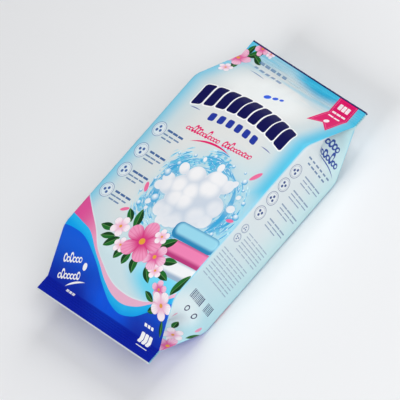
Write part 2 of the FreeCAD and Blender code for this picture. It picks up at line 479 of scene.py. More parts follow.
def motif(draw):
    """A node group that draws a motif, with the function's own arguments as its inputs."""
    tree = bpy.data.node_groups.new("print_" + draw.__name__, "ShaderNodeTree")
    for name in list(inspect.signature(draw).parameters)[1:]:
        kind = "Vector" if name in VECTORS else "Color" if name in COLOURS else "Float"
        tree.interface.new_socket(name, in_out="INPUT", socket_type="NodeSocket" + kind)
    result = draw(tree, *list(tree.nodes.new("NodeGroupInput").outputs)[:-1])
    tree.interface.new_socket("result", in_out="OUTPUT", socket_type=result.bl_idname)
    add(tree, "NodeGroupOutput", result)
    return tree


def own_place(tree, film, centre, turn):
    """The film place as seen from a motif's centre, along its own axes, as x and y."""
    away = add(tree, "offset", film, centre)
    cosine, sine = add(tree, "COSINE", turn), add(tree, "SINE", turn)
    x = add(tree, "dot", away, ("vector", cosine, sine, 0.0))
    return x, add(tree, "dot", away, ("vector", ("SUBTRACT", 0.0, sine), cosine, 0.0))


def hypotenuse(tree, x, y):
    """The distance of a place from the origin, in plain numbers."""
    return add(tree, "SQRT", ("MULTIPLY_ADD", x, x, ("MULTIPLY", y, y)))


def rim(tree, distance, half):
    """The distance to a line along a shape's edge, from half the line's width."""
    return add(tree, "SUBTRACT", ("ABSOLUTE", distance), half)


def thinned(tree, share, width):
    """Half of a width that thins out from the middle to both ends."""
    thin = ("MULTIPLY_ADD", ("POWER", share, 2.0), -1.0, 1.0)
    return add(tree, "MULTIPLY", ("MULTIPLY", thin, width), 0.5)


def box_distance(tree, x, y, wide, tall, corner):
    """The distance outside a rounded box round the origin, negative inside it."""
    past = [
        add(tree, "MULTIPLY_ADD", size, -0.5, ("ADD", ("ABSOLUTE", place), corner))
        for place, size in ((x, wide), (y, tall))
    ]
    outside = hypotenuse(tree, *(add(tree, "MAXIMUM", edge, 0.0) for edge in past))
    inside = ("MINIMUM", ("MAXIMUM", *past), 0.0)
    return add(tree, "SUBTRACT", ("ADD", outside, inside), corner)


def nearest(tree, place, pitch, count):
    """The offset from the nearest of a centred row of stations, and that station's number."""
    last = add(tree, "SUBTRACT", count, 1.0)
    half = add(tree, "MULTIPLY", last, 0.5)
    number = ("ROUND", ("ADD", ("DIVIDE", place, pitch), half))
    station = add(tree, "SUBTRACT", ("MAXIMUM", ("MINIMUM", number, last), 0.0), half)
    return add(tree, "SUBTRACT", place, ("MULTIPLY", station, pitch)), station


def lay(tree, under, colour, distance, soft=INK_EDGE, strength=1.0):
    """Lays an ink over what is under it, where the distance is negative."""
    return add(tree, "mix", ("fade", distance, -soft / 2, soft / 2, strength, 0.0), under, colour)


def disc(tree, film, centre, turn, radius, squash):
    """A disc, or an ellipse when squashed."""
    x, y = own_place(tree, film, centre, turn)
    return add(tree, "SUBTRACT", hypotenuse(tree, x, add(tree, "MULTIPLY", y, squash)), radius)


def blocks(tree, film, centre, turn, arch, columns, rows, pitch, size, corner, vary, slant):
    """Rows of plain rounded blocks, straight or arched."""
    x, y = own_place(tree, film, centre, turn)
    up = add(tree, "MULTIPLY_ADD", ("MULTIPLY", x, x), arch, y)
    along = add(tree, "MULTIPLY_ADD", up, ("SUBTRACT", 0.0, slant), x)
    near_x, column = nearest(tree, along, add(tree, "dot", pitch, RIGHT), columns)
    near_y, row = nearest(tree, up, add(tree, "dot", pitch, UP), rows)
    seed = ("ADD", ("dot", centre, UP), ("MULTIPLY_ADD", row, ROW_SEED, column))
    share = ("MULTIPLY_ADD", ("MULTIPLY", ("chance", seed), vary), -1.0, 1.0)
    wide = add(tree, "MULTIPLY", ("dot", size, RIGHT), share)
    return box_distance(tree, near_x, near_y, wide, add(tree, "dot", size, UP), corner)


def stroke(tree, film, centre, middle, radius, spread, width):
    """A brush stroke along an arc, thinning out to both ends."""
    x, y = own_place(tree, film, centre, middle)
    share = add(tree, "DIVIDE", ("ABSOLUTE", ("ARCTAN2", y, x)), spread)
    away = add(tree, "SUBTRACT", hypotenuse(tree, x, y), radius)
    distance = rim(tree, away, thinned(tree, share, width))
    return add(tree, "MULTIPLY_ADD", ("GREATER_THAN", share, 1.0), FAR, distance)


def scribble(tree, film, centre, turn, count, step, height, width):
    """A row of slanted loops of uneven height, like pen practice."""
    x, y = own_place(tree, film, centre, turn)
    near, station = nearest(tree, add(tree, "MULTIPLY_ADD", y, -LOOP_LEAN, x), step, count)
    chance = ("chance", ("ADD", ("dot", centre, UP), station))
    tall = add(tree, "MULTIPLY", ("range", chance, 0.5, 1.0, LOW_LOOP, 1.0), height)
    rise = add(tree, "DIVIDE", ("MULTIPLY", ("MULTIPLY_ADD", tall, -0.5, y), step), tall)
    ring = add(tree, "MULTIPLY_ADD", step, -LOOP_RADIUS, hypotenuse(tree, near, rise))
    press = ("range", ("DIVIDE", near, step), -0.5, 0.5, 0.62, 0.3)
    return rim(tree, ring, add(tree, "MULTIPLY", press, width))


def blossom(tree, under, film, centre, radius, turn, tip, heart, stamen):
    """An open five-petal blossom, pale at its tips and deep at its heart and along its veins."""
    x, y = own_place(tree, film, centre, turn)
    angle, away = add(tree, "ARCTAN2", y, x), hypotenuse(tree, x, y)
    swing = ("ABSOLUTE", ("COSINE", ("MULTIPLY", angle, PETALS / 2)))
    lobe = add(tree, "POWER", swing, LOBE_ROUND)
    reach = ("MULTIPLY", ("MULTIPLY_ADD", lobe, 0.5, 0.5), radius)
    distance = add(tree, "SUBTRACT", away, reach)
    shadow = lay(tree, under, "#1E3A58", distance, 3.0, 0.3)
    petal = ("mix", ("fade", ("DIVIDE", away, radius), 0.12, 0.72, 0.0, 1.0), heart, tip)
    petal = ("mix", ("range", lobe, 0.3, 0.75, 0.8, 0.0), petal, heart)
    veins = ("COSINE", ("MULTIPLY", angle, PETALS * VEINS))
    petal = ("mix", ("range", veins, 0.2, 1.0, 0.0, 0.28), petal, heart)
    colour = lay(tree, shadow, petal, distance)
    return lay(tree, colour, stamen, ("MULTIPLY_ADD", radius, -EYE, away), 1.0)


def leaf(tree, under, film, centre, turn, span, width, green):
    """A pointed leaf with a pale midrib and one darker half."""
    x, y = own_place(tree, film, centre, turn)
    side = add(tree, "ABSOLUTE", y)
    share = add(tree, "DIVIDE", x, ("MULTIPLY", span, 0.5))
    tone = ("mix", ("range", y, -0.4, 0.4, 0.25, 1.0), "#0B2A16", green)
    tone = lay(tree, tone, "#7FB56C", ("SUBTRACT", side, MIDRIB), 0.5, 0.6)
    return lay(tree, under, tone, ("SUBTRACT", side, thinned(tree, share, width)))


def badge(tree, under, film, centre, turn, radius, tone):
    """A thin double ring round three dots."""
    x, y = own_place(tree, film, centre, turn)
    away = hypotenuse(tree, x, y)
    colour = lay(tree, under, "#F3F7FA", ("SUBTRACT", away, radius), strength=0.55)
    for share, width, strength in ((1.0, 0.7, 0.75), (0.8, 0.5, 0.5)):
        ring = rim(tree, ("MULTIPLY_ADD", radius, -share, away), width / 2)
        colour = lay(tree, colour, tone, ring, strength=strength)
    third = 2 * math.pi / 3
    turned = ("FLOORED_MODULO", ("ARCTAN2", y, x), third)
    folded = add(tree, "SUBTRACT", turned, third / 2)
    dot_x = add(tree, "MULTIPLY_ADD", radius, -DOT_ORBIT, ("MULTIPLY", ("COSINE", folded), away))
    dot_y = add(tree, "MULTIPLY", ("SINE", folded), away)
    dot = ("MULTIPLY_ADD", radius, -DOT_RADIUS, hypotenuse(tree, dot_x, dot_y))
    return lay(tree, colour, tone, dot, 0.6)


def bubble(tree, under, film, centre, radius):
    """A round shaded bubble, bright at its upper left."""
    x, y = own_place(tree, film, centre, 0.0)
    shine_x, shine_y = (
        add(tree, "MULTIPLY_ADD", radius, shift, side) for side, shift in ((x, 0.3), (y, -0.35))
    )
    share = add(tree, "DIVIDE", hypotenuse(tree, shine_x, shine_y), radius)
    tone = ("mix", ("fade", share, 0.1, 1.25, 0.0, 1.0), "#F4FBFE", "#3FA9DC")
    tone = ("mix", ("range", share, 0.08, 0.2, 0.9, 0.0), tone, WHITE)
    distance = ("SUBTRACT", hypotenuse(tree, x, y), radius)
    return add(tree, "mix", ("range", distance, -INK_EDGE / 2, INK_EDGE / 2, 0.85, 0.0), under, tone)


MOTIFS = (disc, blocks, stroke, scribble, blossom, leaf, badge, bubble)


# Each front band and its neighbours print what reaches this far past their shared line.
BAND_OVERLAP = 3.0
# Petal tips and hearts: rose, pale and deep.
BLOSSOM_TONES = (("#F6C2DC", "#E0529A"), ("#FCF2F8", "#F2B4D2"), ("#F39AC2", "#D6327F"))
# The box that holds the lines of the wave: half its width, and its height.
WAVE_REACH = 90.0
WAVE_HEIGHT = 130.0


class Print:
    """The print of one panel, or of a band of it, built up ink by ink from its ground.

    Centres are places on the film, across and up, in millimetres; turns and arcs are in degrees.
    """

    def __init__(self, tree, motifs, inks, top, span):
        self.tree, self.motifs, self.inks = tree, motifs, inks
        self.top, self.span = top, span
        self.film = add(tree, "film")
        self.across, self.up = add(tree, "parts", self.film).node.outputs[:2]
        self.beside = add(tree, "ABSOLUTE", self.across)
        self.colour = None

    def meets(self, low, high):
        """Whether a motif between two heights shows in this band."""
        return low < self.span[1] + BAND_OVERLAP and high > self.span[0] - BAND_OVERLAP

    def past(self, side, line):
        """The distance to what lies above, below, left or right of a line, or out past two lines."""
        if side in ("below", "left"):
            return "SUBTRACT", self.up if side == "below" else self.across, line
        return "SUBTRACT", line, {"above": self.up, "right": self.across, "out": self.beside}[side]

    def boundary(self, points):
        """Height over a smooth line that runs across the panel through a few places."""
        share = add(self.tree, "range", self.across, -WAVE_REACH, WAVE_REACH, 0.0, 1.0)
        height = add(self.tree, "ShaderNodeFloatCurve", 1.0, share)
        curve = height.node.mapping.curves[0]
        for spare in range(len(points) - 2):
            curve.points.new(0.5, 0.5)
        for point, (across, up) in zip(curve.points, points):
            point.location = ((across / WAVE_REACH + 1) / 2, up / WAVE_HEIGHT)
        height.node.mapping.update()
        return add(self.tree, "MULTIPLY_ADD", height, -WAVE_HEIGHT, self.up)

    def shape(self, name, centre, *inputs):
        """The distance to one of the plain motifs."""
        return add(self.tree, "ShaderNodeGroup", self.film, (*centre, 0), *inputs,
                   node_tree=self.motifs[name])

    def over(self, colour, distance, soft=INK_EDGE, strength=1.0):
        """Prints a colour where the distance is negative."""
        self.colour = lay(self.tree, self.colour, colour, distance, soft, strength)

    def stamp(self, name, centre, reach, *inputs):
        """Prints one of the motifs that bring their own colours, if it reaches this band."""
        if self.meets(centre[1] - reach, centre[1] + reach):
            self.colour = add(self.tree, "ShaderNodeGroup", self.colour, self.film, (*centre, 0),
                              *inputs, node_tree=self.motifs[name])

    def disc(self, colour, centre, radius, squash=1.0, soft=INK_EDGE, strength=1.0, turn=0):
        """Prints a disc or an ellipse."""
        self.over(colour, self.shape("disc", centre, math.radians(turn), radius, squash), soft, strength)

    def blocks(self, colour, centre, columns, pitch, size, rows=1, turn=0, arch=0.0, corner=0.4,
               vary=0.0, slant=0.0, strength=1.0, halo=None):
        """Prints plain blocks in rows, with a soft halo round them if asked."""
        turn = math.radians(turn)
        tall = rows * pitch[1] / 2 + size[1] + abs(turn) * columns * pitch[0]
        tall += arch * (columns * pitch[0] / 2) ** 2
        if self.meets(centre[1] - tall, centre[1] + tall):
            distance = self.shape("blocks", centre, turn, arch, columns, rows, (*pitch, 0), (*size, 0),
                                  corner, vary, slant)
            if halo:
                self.over(halo, ("SUBTRACT", distance, 1.2), 2.4)
            self.over(colour, distance, strength=strength)

    def stroke(self, colour, centre, middle, radius, spread, width, strength=1.0):
        """Prints a brush stroke along an arc."""
        turns = [math.radians(middle + spread * share) for share in (-1, -0.5, 0, 0.5, 1)]
        heights = [centre[1] + radius * math.sin(turn) for turn in turns]
        if self.meets(min(heights) - 2 * width, max(heights) + 2 * width):
            distance = self.shape("stroke", centre, math.radians(middle), radius,
                                  math.radians(spread), width)
            self.over(colour, distance, strength=strength)

    def loops(self, colour, centre, turn, count, pitch, height, width):
        """Prints a row of slanted loops."""
        turn = math.radians(turn)
        tall = height + count * pitch * abs(math.sin(turn)) / 2
        if self.meets(centre[1] - tall, centre[1] + tall):
            self.over(colour, self.shape("scribble", centre, turn, count, pitch, height, width))

    def petals(self, colour, petals):
        """Prints loose petals, each given by its place, turn, length and width."""
        for across, up, turn, span, width in petals:
            if self.meets(up - span / 2, up + span / 2):
                self.disc(colour, (across, up), span / 2, span / width, 1.2, turn=turn)

    def garden(self, blossoms, leaves):
        """Prints leaves, and blossoms over them."""
        for across, up, turn, span, width in leaves:
            self.stamp("leaf", (across, up), span / 2, math.radians(turn), span, width,
                       self.inks.leaf)
        for across, up, radius, turn, tone in blossoms:
            self.stamp("blossom", (across, up), radius, radius, math.radians(turn),
                       *BLOSSOM_TONES[tone], self.inks.stamen)


# Places of the three lines that bound the wave's bands on the front and the back.
PINK_LINE = ((-90, 115), (-70, 102), (-45, 86), (-18, 62.5), (2, 50.3), (20, 47.5), (42, 49.5), (62, 57),
             (90, 80))
CYAN_LINE = ((-90, 90.5), (-72, 87.5), (-50, 82.5), (-25, 63), (-8, 47), (6, 39.2), (20, 37), (38, 41),
             (60, 53), (90, 75))
BLUE_LINE = ((-90, 75), (-74, 77), (-52, 75), (-30, 61.5), (-12, 43.5), (4, 31), (18, 26.5), (38, 30.5),
             (60, 44.5), (90, 68))


def wave(panel):
    """The pink, cyan and blue bands over the foot of a panel."""
    if not panel.meets(0, WAVE_HEIGHT):
        return
    tree, inks = panel.tree, panel.inks
    pink, cyan, blue = (panel.boundary(line) for line in (PINK_LINE, CYAN_LINE, BLUE_LINE))
    panel.over(WHITE, ("SUBTRACT", pink, 1.0), 2.5, 0.5)
    paler = ("fade", panel.across, -82.0, -12.0, 0.0, 0.85)
    panel.over(("mix", paler, inks.pink, inks.rose), pink, 0.6)
    panel.over("#22B8F4", cyan, 0.5)
    panel.over(inks.wave_cyan, ("ADD", cyan, 6.0), 9.0)
    brighter = ("fade", panel.up, 17.0, 70.0, 0.15, 1.0)
    field = ("mix", brighter, inks.deep_blue, inks.bright_blue)
    field = lay(tree, field, "#005CEE", panel.shape("disc", (4, 26), 0.0, 30.0, 1.5), 40.0, 0.85)
    field = lay(tree, field, inks.deep_blue, panel.past("below", 18.0), 2.0, 0.75)
    panel.over(field, blue, 0.5)


# The painted sheen streaks' lean, and how many of them go into a millimetre of length and of width.
STREAK_LEAN = math.radians(-24)
STREAK_SCALE = (0.012, 0.11, 1.0)


def streaks(panel):
    """Pale slanting streaks of painted sheen in the cyan of the film's top."""
    lean = ("ShaderNodeMapping", panel.film, None, (0, 0, STREAK_LEAN), STREAK_SCALE)
    bright = ("range", ("noise", lean, 1.0, 2.0), 0.42, 0.62, 0.0, 0.7)
    cover = ("MULTIPLY", ("fade", panel.up, 318.0, 350.0, 0.0, 1.0), bright)
    panel.colour = add(panel.tree, "mix", cover, panel.colour, panel.inks.cyan)


# Sizes in the splash: how far it strays from its ring, its broad patches and its droplets' spacing,
# and how far its edge moves from the thinnest threads and patches to the thickest.
STRAY, PATCH, DROPLET = 14.0, 36.0, 6.5
THREAD_SWING, PATCH_SWING = 60.0, 30.0
# The splash's turn, and how many times as wide as tall it is along its own axes.
SPLASH_TURN, SPLASH_SQUASH = math.radians(20), 1.12


def splash(panel, centre, radius):
    """A ragged ring of thrown water that swirls round a centre, with droplets off it."""
    if not panel.meets(centre[1] - radius - STRAY, centre[1] + radius + STRAY):
        return
    tree = panel.tree
    x, y = own_place(tree, panel.film, (*centre, 0), SPLASH_TURN)
    y = add(tree, "MULTIPLY", y, SPLASH_SQUASH)
    away = hypotenuse(tree, x, y)
    ring = add(tree, "ABSOLUTE", ("SUBTRACT", away, radius))
    swirl = ("vector", ("DIVIDE", x, away), ("DIVIDE", y, away), ("MULTIPLY", away, 0.1))
    threads = add(tree, "noise", swirl, 3.6, 1.5, noise_dimensions="3D")
    patches = add(tree, "noise", panel.film, 1 / PATCH, 0.0)
    thin = ("MULTIPLY_ADD", threads, -THREAD_SWING, ("MULTIPLY_ADD", patches, -PATCH_SWING, 10.0))
    water = add(tree, "ADD", ("ADD", ring, thin), 27.0)
    panel.over("#8FDCF2", water, 5.0, 0.8)
    panel.over("#129FDA", ("ADD", water, 5.0), 4.0, 0.85)
    shine = rim(tree, ("MULTIPLY_ADD", threads, THREAD_SWING, -34.5), 1.0)
    panel.over("#EAFAFE", ("MAXIMUM", shine, water), 1.5, 0.9)
    size = ("MULTIPLY_ADD", patches, -5.0, 1.6)
    drops = ("MULTIPLY_ADD", ("cells", panel.film, 1 / DROPLET), DROPLET, size)
    panel.over("#4FBDE4", ("MAXIMUM", drops, ("SUBTRACT", ring, 12.0)), 0.6, 0.8)


# Width of a puff of foam.
PUFF = 17.0


def foam(panel, centre, radius, squash):
    """A mound of white foam in round puffs, blue in its folds and lower right."""
    if not panel.meets(centre[1] - radius - 5, centre[1] + radius + 5):
        return
    tree = panel.tree
    mound = panel.shape("disc", centre, math.radians(14), radius, squash)
    puffs = add(tree, "cells", panel.film, 1 / PUFF)
    edge = add(tree, "MULTIPLY_ADD", mound, 0.5, ("MULTIPLY_ADD", puffs, PUFF, -PUFF / 2))
    panel.over("#5CC3E6", ("SUBTRACT", edge, 1.0), 6.0, 0.6)
    panel.over("#F6F6F8", edge, 0.6)
    panel.over("#AFC2D8", ("MAXIMUM", edge, ("MULTIPLY_ADD", puffs, -PUFF, 9.0)), 10.0, 0.6)
    lit = panel.shape("disc", (centre[0] - 12, centre[1] + 20), 0.0, radius * 0.9, 1.0)
    panel.over("#B9CBDF", ("MAXIMUM", ("SUBTRACT", 0.0, lit), edge), 34.0, 0.4)


# Height of the dark line along the top edge and of the pale one along the bottom edge.
TOP_LINE = 1.6
BOTTOM_LINE = 1.2


def edge_lines(panel):
    """The dark line along the cut top edge and the pale one along the bottom edge."""
    panel.over("#0A1560", panel.past("above", panel.top - TOP_LINE))
    panel.over("#DDE3E6", panel.past("below", BOTTOM_LINE))


def front_print(panel):
    """The front panel's colour."""
    inks = panel.inks
    panel.colour = inks.white
    panel.over(inks.mist, panel.past("out", 60), 56, 0.85)
    panel.over(inks.mist, panel.past("below", 105), 70, 0.8)
    panel.over(inks.cyan, panel.past("left", -80), 30, 0.85)
    panel.over(inks.cyan, panel.past("right", 84), 34, 0.7)
    panel.over(inks.cyan, ("MAXIMUM", panel.past("right", 76), panel.past("above", 205)), 26, 0.9)
    # Painted light: a paler tint over the bottom taper that offsets the shade falling on it.
    panel.over("#DDF6FC", panel.past("below", 82), 12, 0.4)
    panel.disc("#4CD8FA", (60, 74), 34, 1.7, 40, 0.85)
    panel.disc("#F6FAFA", (-8, 304), 52, 1.9, 44, 0.85)
    panel.over(inks.cyan, panel.past("above", 349), 30, 0.9)
    panel.disc("#2FB0DC", (24, 356), 36, 2.8, 34)
    # Pale slanting streaks at the top: painted sheen.
    streaks(panel)
    wave(panel)
    front_picture(panel)
    front_rows(panel)
    corner_ribbon(panel)
    edge_lines(panel)


# Blossoms as place, radius, turn and tone; leaves as place, turn, length and width.
CORNER_BLOSSOMS = ((-87, 331, 14, 20, 0), (-73, 354, 9, 60, 0), (-60, 354, 5.5, 10, 1),
                   (-80, 309, 8, 40, 1))
CORNER_LEAVES = ((-75, 345, 40, 20, 8), (-68, 341, -20, 15, 7), (-79, 319, -65, 16, 7),
                 (-84, 346, 80, 15, 7))
FOOT_BLOSSOMS = ((67, 72, 10, 30, 0), (76, 59, 15, 5, 1))
FOOT_LEAVES = ((86, 88, 78, 30, 10), (57, 60, 160, 15, 8), (65, 49, 215, 13, 7), (84, 38, -80, 18, 5))
GARLAND_BLOSSOMS = ((-24, 104, 12, 10, 1), (50, 86, 9, 50, 1), (-7, 88, 9, 30, 1), (38, 97, 15, 0, 0),
                    (12, 103, 24, 18, 2), (28, 118, 9, 40, 1))
GARLAND_LEAVES = ((-37, 97, 190, 20, 9), (-20, 86, 235, 20, 10), (-2, 82, 250, 20, 10),
                  (22, 79, 285, 20, 10), (44, 78, 315, 20, 9), (60, 86, 350, 20, 9),
                  (-12, 120, 110, 24, 10), (40, 116, 50, 22, 10), (-24, 119, 140, 18, 8),
                  (56, 101, 25, 20, 9), (9, 80, 262, 16, 9), (-29, 89, 205, 18, 8))
SIDE_BLOSSOMS = ((20, 46, 11, 10, 1), (32, 30, 15, 40, 0), (11, 27, 8, 0, 1))
SIDE_LEAVES = ((9, 57, 120, 13, 6), (33, 62, 75, 18, 6), (5, 38, 160, 14, 5), (26, 14, 250, 15, 6))
# Broad strokes of water as centre, middle, radius, spread and width.
WATER = (((20, 168), 8, 50, 36, 6.0), ((30, 172), 196, 52, 28, 6.5), ((22, 188), 262, 54, 34, 6.0),
         ((46, 150), 152, 76, 14, 3.0), ((52, 176), 345, 30, 34, 3.0))
# Bubbles as place and radius.
BUBBLES = ((-24, 176, 4.5), (-31, 164, 2.4), (-20, 190, 2.8), (-10, 206, 2.2), (12, 216, 2.6),
           (38, 218, 1.9), (62, 211, 3.4), (79, 192, 2.6), (83, 176, 3.6), (-36, 146, 2.0), (-27, 134, 3.2),
           (74, 148, 2.4), (-14, 147, 5.0), (55, 219, 1.6), (-29, 199, 1.7), (68, 203, 1.8))
# A stack of three thick soft bars, from the bottom up: place, width, turn, light and dark tone.
STACK = (
    ((72, 98), 56, 7, "#F2F5F8", "#9DB4CC"),
    ((68, 117), 60, 6, "#F184B6", "#B93A7C"),
    ((62, 136), 60, 5, "#9AD9EE", "#2B86B8"),
)
BAR = 19.0


def front_picture(panel):
    """Foam, water and blossoms in the middle of the front, and the pack's own blossoms."""
    if panel.meets(85, 230):
        panel.disc("#A6E0F0", (30, 156), 60, 0.9, 50, 0.6)
    splash(panel, (23, 167), 49.0)
    for water in WATER:
        panel.stroke("#1FA5DB", *water)
    foam(panel, (24, 168), 42.0, 1.2)
    for across, up, radius in BUBBLES:
        panel.stamp("bubble", (across, up), radius, radius)
    for (middle, up), wide, turn, light, dark in STACK:
        panel.blocks(dark, (middle, up), 1, (wide, BAR), (wide, BAR + 0.5), turn=turn, corner=8.0)
        if panel.meets(up - BAR + 3, up + BAR - 3):
            top = panel.shape("blocks", (middle + 0.6, up + 2.2), math.radians(turn), 0.0, 1, 1,
                              (wide, BAR, 0), (wide - 4, BAR - 6, 0), 6.0, 0.0, 0.0)
            panel.over(light, top, 5.0)
    panel.petals("#F0709F", ((68, 222, 60, 15, 5), (-33, 152, 120, 12, 5), (80, 170, 20, 9, 4),
                             (-36, 121, 35, 11, 4)))
    panel.garden(GARLAND_BLOSSOMS, GARLAND_LEAVES)
    panel.garden(FOOT_BLOSSOMS, FOOT_LEAVES)
    panel.garden(CORNER_BLOSSOMS, CORNER_LEAVES)


# How fast the row of large blocks falls off to both sides of its middle, per millimetre squared.
ROW_ARCH = 0.0025
BADGES_UP = (209, 181, 155, 128)


def front_rows(panel):
    """Plain blocks, bars, badges and looping lines."""
    inks, blue, dusk = panel.inks, "#2438A0", "#5A86B5"
    panel.blocks(inks.navy, (1.5, 276.5), 9, (15.3, 40), (14, 25.5), turn=3.3, arch=ROW_ARCH,
                 corner=3.0, vary=0.12, slant=0.1, halo=WHITE)
    panel.blocks(blue, (3, 252.5), 6, (12.6, 30), (8.4, 9.5), turn=3, arch=ROW_ARCH, corner=2.4)
    panel.stroke(blue, (-49, 187.5), 96, 60, 7.5, 1.1, 0.8)
    panel.stroke(blue, (51, 190.5), 86, 60, 7.5, 1.1, 0.8)
    panel.loops(inks.ribbon, (-22, 226), 5, 12, 4.0, 9.0, 1.3)
    panel.loops(inks.ribbon, (27, 230.5), 5, 10, 4.0, 9.0, 1.3)
    panel.stroke(inks.ribbon, (9, 151), 100, 75, 21, 2.4)
    for up in BADGES_UP:
        panel.stamp("badge", (-74, up), 8.5, up / 30, 8.5, "#3E66A6")
        for shift, middle, columns, tall, tone in ((3.5, -50.5, 3, 2.4, "#45699E"),
                                                   (-1.7, -52.5, 3, 1.6, inks.slate),
                                                   (-6.2, -56, 2, 1.6, inks.slate)):
            panel.blocks(tone, (middle, up + shift), columns, (8.6, 6), (8.4, tall), vary=0.2)
    for up in (341, 333):
        panel.blocks(dusk, (-43, up), 5, (8.8, 6), (7.6, 3.0), corner=0.6, vary=0.35, strength=0.75)
    panel.stroke(dusk, (-49, 265), 90, 60.5, 11, 1.4, 0.8)
    panel.loops(WHITE, (-61, 45), 20, 6, 4.7, 12, 1.25)
    panel.loops(WHITE, (-61, 27), 20, 7, 4.7, 12, 1.25)
    panel.disc(WHITE, (-41.5, 48), 4.6, 1.7, turn=70)
    panel.stroke(WHITE, (-17, -32), 119, 68, 13, 1.9)
    panel.blocks(WHITE, (-51.5, 16), 3, (4.6, 5), (3.8, 2.6), corner=0.5, strength=0.8)
    panel.blocks(WHITE, (67.5, 32.5), 3, (5.2, 5), (4.4, 3.4), corner=0.6, vary=0.2)
    panel.blocks(WHITE, (67.5, 19), 3, (6.2, 12), (5.2, 11.5), corner=1.4, slant=0.15)
    panel.blocks(WHITE, (68.5, 10), 1, (20, 4), (17, 0.9), strength=0.85)
    for across, up, radius in ((-6, 304.5, 3.8), (1.5, 308.5, 3.0), (7.5, 311.5, 2.2)):
        panel.disc("#2A62E8", (across, up), radius)


# The ribbon's middle, half width, foot and the depth of its notch.
RIBBON_MIDDLE = 63.5
RIBBON_HALF = 14.5
RIBBON_FOOT = 309.5
RIBBON_NOTCH = 9.0


def corner_ribbon(panel):
    """A swallowtail ribbon that hangs from the top edge."""
    if not panel.meets(RIBBON_FOOT, panel.top):
        return
    tree, pale = panel.tree, "#FFF2F8"
    side = add(tree, "ABSOLUTE", ("SUBTRACT", panel.across, RIBBON_MIDDLE))
    cut = ("MULTIPLY_ADD", side, -RIBBON_NOTCH / RIBBON_HALF, RIBBON_FOOT + RIBBON_NOTCH)
    distance = add(tree, "MAXIMUM", ("SUBTRACT", side, RIBBON_HALF), ("SUBTRACT", cut, panel.up))
    panel.over(panel.inks.ribbon, distance)
    panel.over("#F58AB8", rim(tree, ("ADD", distance, 2.2), 0.25), strength=0.7)
    panel.blocks(pale, (63.5, 347), 3, (5.8, 8), (4.8, 6.5), corner=0.8)
    panel.blocks(pale, (63, 339), 3, (7, 5), (6.4, 2.0), corner=0.5, vary=0.2)
    panel.blocks(pale, (62.5, 333), 2, (9, 5), (8.4, 2.0), corner=0.5, vary=0.2)
    panel.disc(pale, (63.5, 323), 3.0)


SIDE_BADGES_UP = (252, 234, 216, 197)


def side_print(panel):
    """The side panels' colour, read from one long crease to the other."""
    inks, blue = panel.inks, "#2A4FA8"
    slate = inks.slate
    panel.colour = "#E6EFF2"
    panel.over("#C4F0F4", panel.past("right", 18), 50, 0.8)
    panel.over("#BCE9F4", panel.past("below", 125), 150, 0.9)
    # Painted light: a near-white patch above the bottom taper that lifts the shade of the gusset's fold
    # there.
    panel.disc("#F2FBFD", (-12, 68), 26, 1.0, 22, 0.75)
    # A cyan strip beside both long creases: a printed cyan edge, and partly a painted crease highlight.
    panel.over(inks.cyan, ("MAXIMUM", panel.past("out", 34.6), panel.past("below", 334)), 3.0, 0.7)
    panel.loops(blue, (9, 303), -4, 6, 4.6, 15, 1.6)
    panel.loops(blue, (7, 287), -4, 8, 4.6, 15, 1.6)
    panel.stroke(blue, (-4, 224), 78, 60, 18, 1.8)
    for up, columns in ((272, 6), (267, 5)):
        panel.blocks(slate, (0, up), columns, (8, 5), (6.6, 1.7), vary=0.35)
    for up in SIDE_BADGES_UP:
        panel.stamp("badge", (-23, up), 7.4, up / 20, 7.4, "#2A4A8C")
        for shift, middle, columns, tall in ((4, 9, 3, 1.5), (0, 9, 3, 1.1), (-4, 4, 2, 1.1)):
            panel.blocks(slate, (middle, up + shift), columns, (11.4, 5), (11.2, tall), vary=0.2,
                         strength=0.8)
    for up in (175, 163):
        panel.stamp("badge", (-24, up), 4.6, up / 9, 4.6, "#5A79A8")
    for centre, columns, rows in (((5, 165), 4, 6), ((-4, 131), 5, 9)):
        panel.blocks(slate, centre, columns, (10.4, 4), (10.2, 1.1), rows, vary=0.2, strength=0.6)
    for middle, columns in ((-10, 10), (14, 6)):
        panel.blocks("#25356A", (middle, 93), columns, (2.2, 9), (1.6, 10), corner=0.1, vary=0.6)
    for across in (-11, 5):
        panel.over(inks.navy, rim(panel.tree, panel.shape("disc", (across, 78), 0.0, 2.8, 1.0), 0.6))
    panel.petals("#F3A0C2", ((-15, 63, 70, 9, 3), (26, 72, 100, 9, 4), (-24, 44, 60, 9, 3)))
    panel.garden(SIDE_BLOSSOMS, SIDE_LEAVES)
    edge_lines(panel)


def back_print(panel):
    """The back panel's colour: the ground and the wave go on round the bag."""
    inks = panel.inks
    panel.colour = "#E4ECEF"
    panel.over(inks.mist, panel.past("out", 62), 50, 0.85)
    panel.over(inks.cyan, panel.past("out", 82), 22, 0.8)
    panel.over(inks.cyan, panel.past("above", 352), 34, 0.75)
    wave(panel)
    panel.blocks(inks.navy, (0, 285), 7, (13, 30), (10.4, 15), corner=1.8)
    for middle in (-38, 38):
        panel.blocks(inks.slate, (middle, 205), 7, (8.6, 7), (7.4, 1.8), rows=17, vary=0.4,
                     strength=0.75)
    panel.over("#A9C3CF", rim(panel.tree, ("SUBTRACT", panel.beside, 6.0), 0.25), strength=0.8)
    edge_lines(panel)


# The film: polyester and polyethylene laminated together, with the gravure print between them.
# The clear outer film gives saturated inks a soft broad sheen, which small creases break up.

ROUGHNESS = 0.36
# Widths of the film's hazy patches and of its creases in millimetres, and the creases' depth.
HAZE = 18.0
CREASE = 14.0
CREASE_DEPTH = 0.6 * MM


